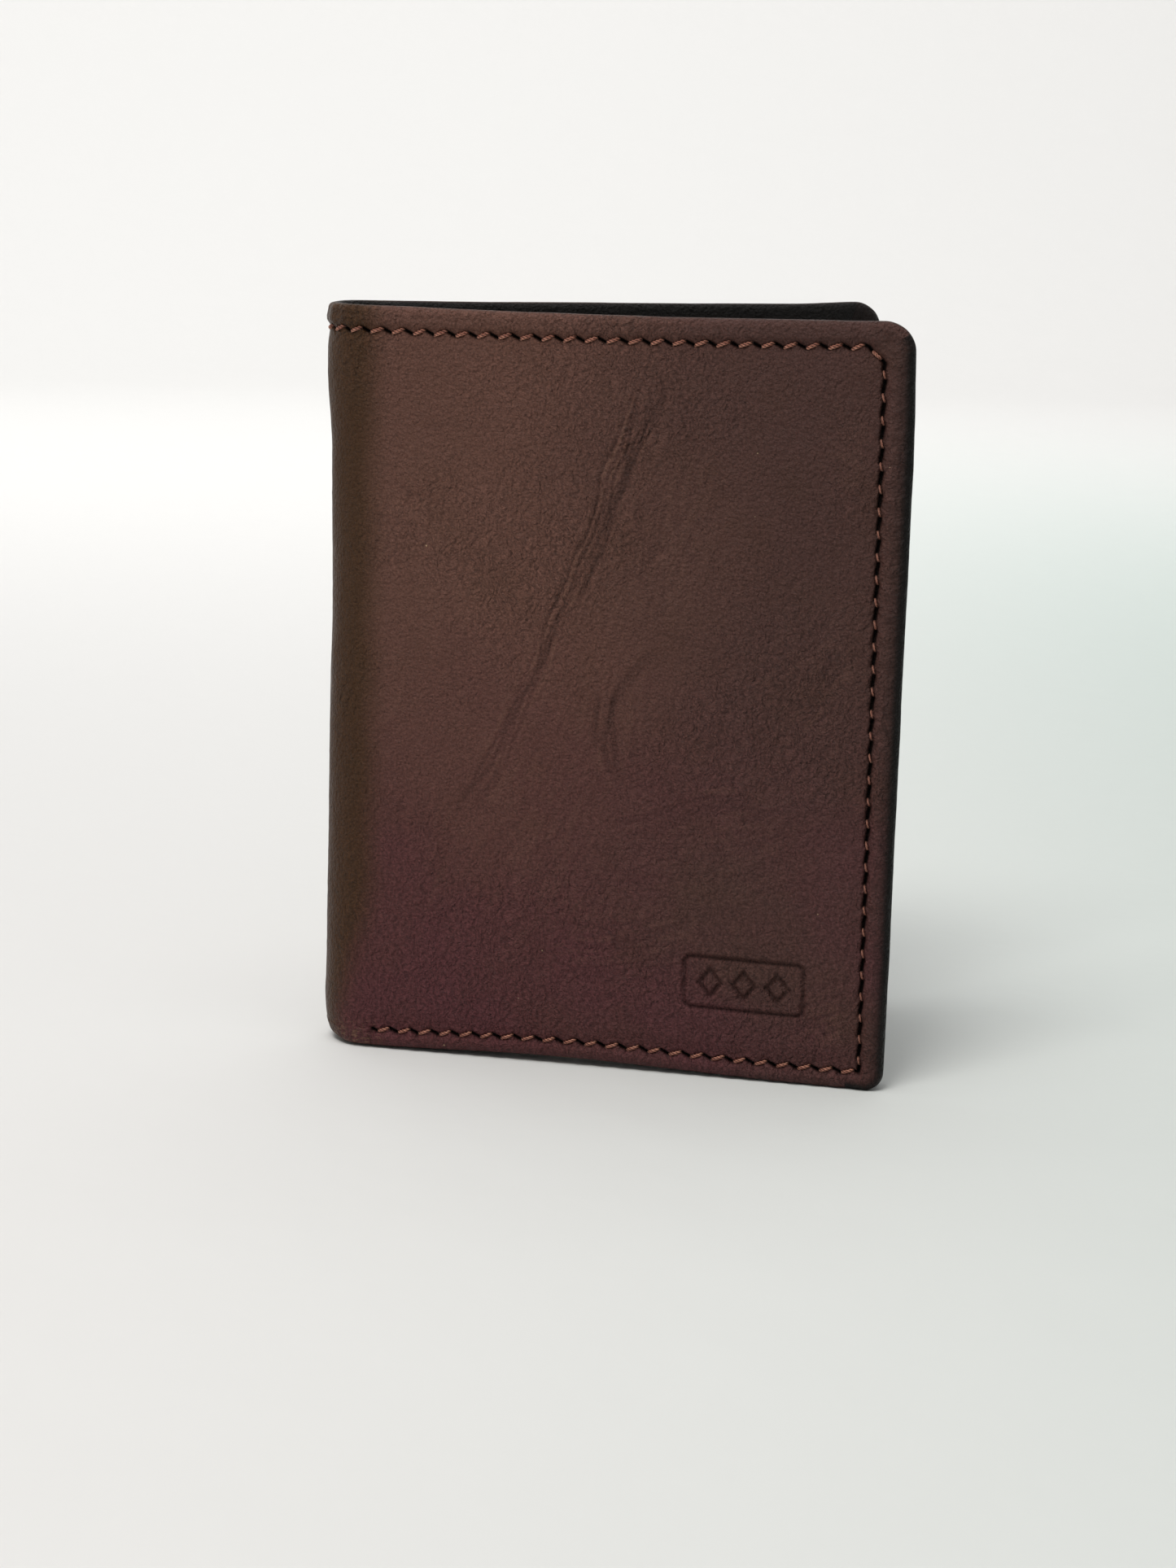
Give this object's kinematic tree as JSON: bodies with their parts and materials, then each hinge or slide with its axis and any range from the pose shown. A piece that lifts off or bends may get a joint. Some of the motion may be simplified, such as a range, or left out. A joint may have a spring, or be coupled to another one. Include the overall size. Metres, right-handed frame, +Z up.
{
  "type": "business card case",
  "caption": "Upright folding leather business card case with a soft spine, stepped card pockets, a window pocket and stitched edges.",
  "frame": {"origin": "middle of the footprint of the case as it stands partly open, on the surface that it stands on", "axes": "+Z up along the fold; the fold is on the -X side and the free edges on the +X side; the front cover faces -Y"},
  "size_m": [0.0928, 0.0582, 0.124],
  "materials": {
    "outer_leather": "smooth, fine-grained, dark brown with a soft sheen",
    "inner_leather": "smooth, fine-grained, dark brown",
    "lining": "fine woven, near black brown",
    "thread": "twisted, copper brown, slight lustre",
    "board": "plain grey brown board",
    "clear_film": "clear flexible film"
  },
  "bodies": {
    "spine": {"spine_leather": "outer_leather", "spine_lining": "lining", "spine_hem_thread": "thread"},
    "front_cover": {"front_outer_leather": "outer_leather", "front_stiffener": "board", "front_lining": "lining", "front_inner_panel": "inner_leather", "front_seam_thread": "thread", "front_bobbin_thread": "thread", "front_pocket_edge_thread": "thread", "deep_pocket_lining": "lining", "deep_pocket": "inner_leather", "window_film": "clear_film", "window_frame": "inner_leather", "window_thread": "thread"},
    "back_cover": {"back_outer_leather": "outer_leather", "back_stiffener": "board", "back_lining": "lining", "back_inner_panel": "inner_leather", "back_seam_thread": "thread", "back_bobbin_thread": "thread", "back_pocket_edge_thread": "thread", "card_pocket_1": "inner_leather", "card_pocket_2": "inner_leather", "card_pocket_3": "inner_leather", "card_pocket_4": "inner_leather", "pocket_bag_1": "lining", "pocket_bag_2": "lining", "pocket_bag_3": "lining"}
  },
  "joints": [
    {"name": "front_fold", "type": "hinge", "parent": "spine", "child": "front_cover", "pos_m": [-0.04441, -0.00412, 0.062], "axis": [0, 0, -1], "range_deg": [-14.25, 75.75]},
    {"name": "back_fold", "type": "hinge", "parent": "spine", "child": "back_cover", "pos_m": [-0.04441, 0.00412, 0.062], "axis": [0, 0, 1], "range_deg": [-14.25, 75.75]}
  ],
  "couplings": [
    {"joint": "back_fold", "follows": "front_fold", "ratio": 1}
  ]
}
